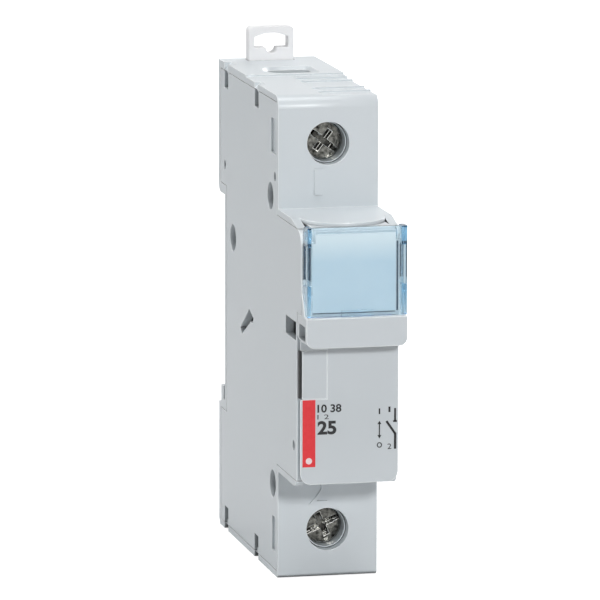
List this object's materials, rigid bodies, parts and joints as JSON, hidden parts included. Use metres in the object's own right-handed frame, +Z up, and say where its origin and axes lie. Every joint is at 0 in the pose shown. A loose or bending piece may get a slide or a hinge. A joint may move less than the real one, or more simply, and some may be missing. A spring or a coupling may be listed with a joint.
{
  "type": "fuse disconnector",
  "caption": "Strip-mounted fuse disconnector, one module wide: tilting drawer with cartridge link, flip-up label cover, screw clamps and slide clip.",
  "frame": {"origin": "middle of the mounting slot, on the face that meets the 35 mm strip", "axes": "+Z up along the front, -Y towards the user, +X to the user's right"},
  "size_m": [0.0176, 0.0716, 0.091],
  "materials": {
    "grey_case": "fine matt moulded thermoplastic, light cool grey",
    "blue_clear": "clear pale blue, glossy",
    "card_paper": "plain pale blue-white label card",
    "white_clip": "natural white moulded plastic",
    "copper_contact": "tin-plated copper",
    "spring_steel": "bright spring steel",
    "zinc_steel": "zinc-plated steel",
    "plated_link": "silver-plated copper"
  },
  "bodies": {
    "case": {"housing": "grey_case", "side_plate": "grey_case", "upper_jaw": "copper_contact", "upper_jaw_spring": "spring_steel", "upper_contact_bar": "copper_contact", "lower_jaw": "copper_contact", "lower_jaw_spring": "spring_steel", "lower_contact_bar": "copper_contact"},
    "drawer": {"drawer": "grey_case", "indicator_blank": "grey_case", "label_card": "card_paper", "neutral_link": "plated_link"},
    "cover": {"label_cover": "blue_clear"},
    "clip": {"mounting_clip": "white_clip"},
    "upper_screw": {"upper_terminal_screw": "zinc_steel"},
    "upper_cage": {"upper_clamp_cage": "zinc_steel"},
    "lower_screw": {"lower_terminal_screw": "zinc_steel"},
    "lower_cage": {"lower_clamp_cage": "zinc_steel"}
  },
  "joints": [
    {"name": "drawer_tilt", "type": "hinge", "parent": "case", "child": "drawer", "pos_m": [0, -0.05625, -0.0209], "axis": [1, 0, 0], "range_deg": [0, 80]},
    {"name": "cover_flip", "type": "hinge", "parent": "drawer", "child": "cover", "pos_m": [0, -0.0639, 0.0212], "axis": [-1, 0, 0], "range_deg": [0, 95]},
    {"name": "clip_slide", "type": "slide", "parent": "case", "child": "clip", "axis": [0, 0, 1], "range_m": [0, 0.004]},
    {"name": "upper_screw_turn", "type": "hinge", "parent": "case", "child": "upper_screw", "pos_m": [0, -0.0366, 0.0339], "axis": [0, 1, 0], "range_deg": [0, 2880]},
    {"name": "upper_cage_slide", "type": "slide", "parent": "case", "child": "upper_cage", "axis": [0, -1, 0], "range_m": [0, 0.0064]},
    {"name": "lower_screw_turn", "type": "hinge", "parent": "case", "child": "lower_screw", "pos_m": [0, -0.0366, -0.0339], "axis": [0, 1, 0], "range_deg": [0, 2880]},
    {"name": "lower_cage_slide", "type": "slide", "parent": "case", "child": "lower_cage", "axis": [0, -1, 0], "range_m": [0, 0.0064]}
  ],
  "couplings": [
    {"joint": "upper_screw_turn", "follows": "upper_cage_slide", "rad_per_m": 7854},
    {"joint": "lower_screw_turn", "follows": "lower_cage_slide", "rad_per_m": 7854}
  ]
}
